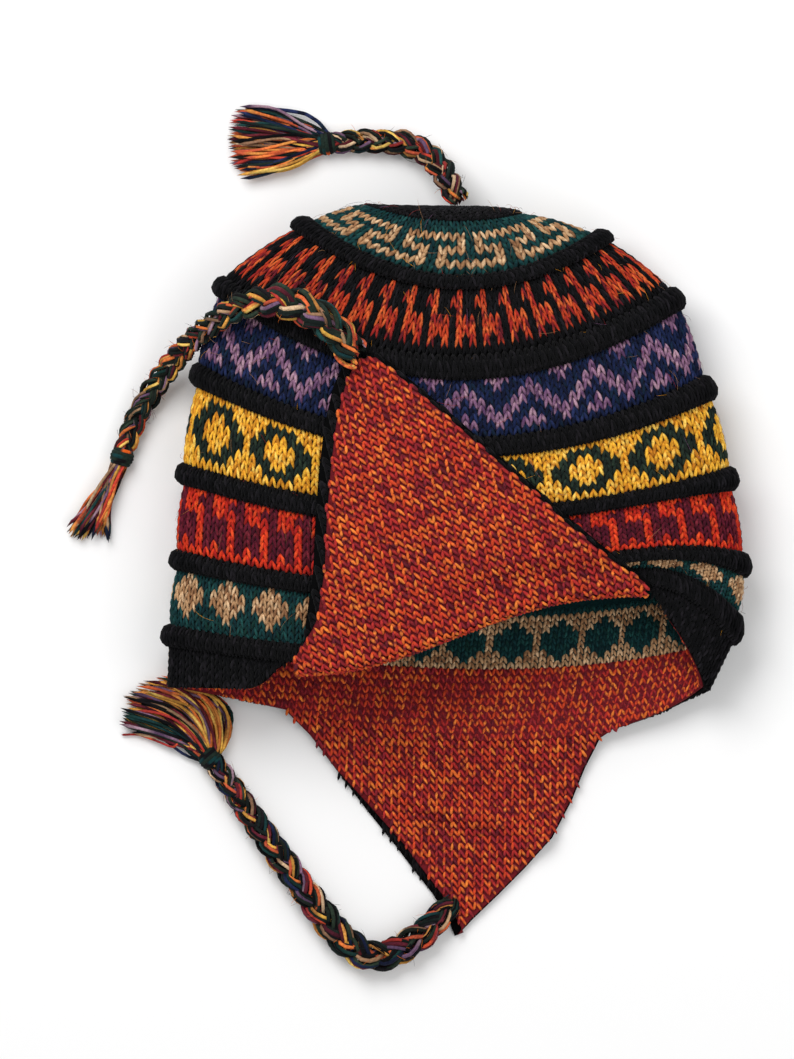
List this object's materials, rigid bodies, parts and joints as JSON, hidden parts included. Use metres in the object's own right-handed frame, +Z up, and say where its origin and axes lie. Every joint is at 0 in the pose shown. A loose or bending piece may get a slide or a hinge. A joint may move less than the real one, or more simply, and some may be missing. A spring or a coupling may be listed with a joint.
{
  "type": "chullo hat",
  "caption": "Knitted earflap hat lying on its side: patterned bands between rolled welts, an ear flap folded up over the crown, another laid flat, and braided ties ending in tassels.",
  "frame": {"origin": "on the surface that the hat lies on, under the middle of the hat's box without its braids and tassels", "axes": "+Z up off the surface, +Y towards the crown's top, -Y the way the mouth opens, +X to the right as the picture shows it"},
  "size_m": [0.3209, 0.4066, 0.0806],
  "materials": {
    "black_knit": "matte knitted wool",
    "teal_knit": "matte knitted wool",
    "black_rust_knit": "matte knitted wool",
    "navy_knit": "matte knitted wool",
    "gold_green_knit": "matte knitted wool",
    "red_knit": "matte knitted wool",
    "teal_tan_knit": "matte knitted wool",
    "rust_knit": "matte knitted wool",
    "tan_teal_knit": "matte knitted wool",
    "braided_yarn": "matte knitted wool"
  },
  "bodies": {
    "root": {"crown_cap": "black_knit", "key_band": "teal_knit", "lightning_band": "black_rust_knit", "zigzag_band": "navy_knit", "ring_band": "gold_green_knit", "stepped_band": "red_knit", "diamond_band": "teal_tan_knit", "rim_band": "black_knit", "rim_lining": "rust_knit", "diamond_lining": "tan_teal_knit", "near_flap": "black_knit", "near_flap_lining": "rust_knit", "far_flap": "black_knit", "far_flap_lining": "rust_knit", "welt_1": "black_knit", "welt_2": "black_knit", "welt_3": "black_knit", "welt_4": "black_knit", "welt_5": "black_knit", "welt_6": "black_knit", "top_braid": "braided_yarn", "top_tassel": "braided_yarn", "near_braid": "braided_yarn", "near_tassel": "braided_yarn", "far_braid": "braided_yarn", "far_tassel": "braided_yarn"}
  },
  "joints": []
}
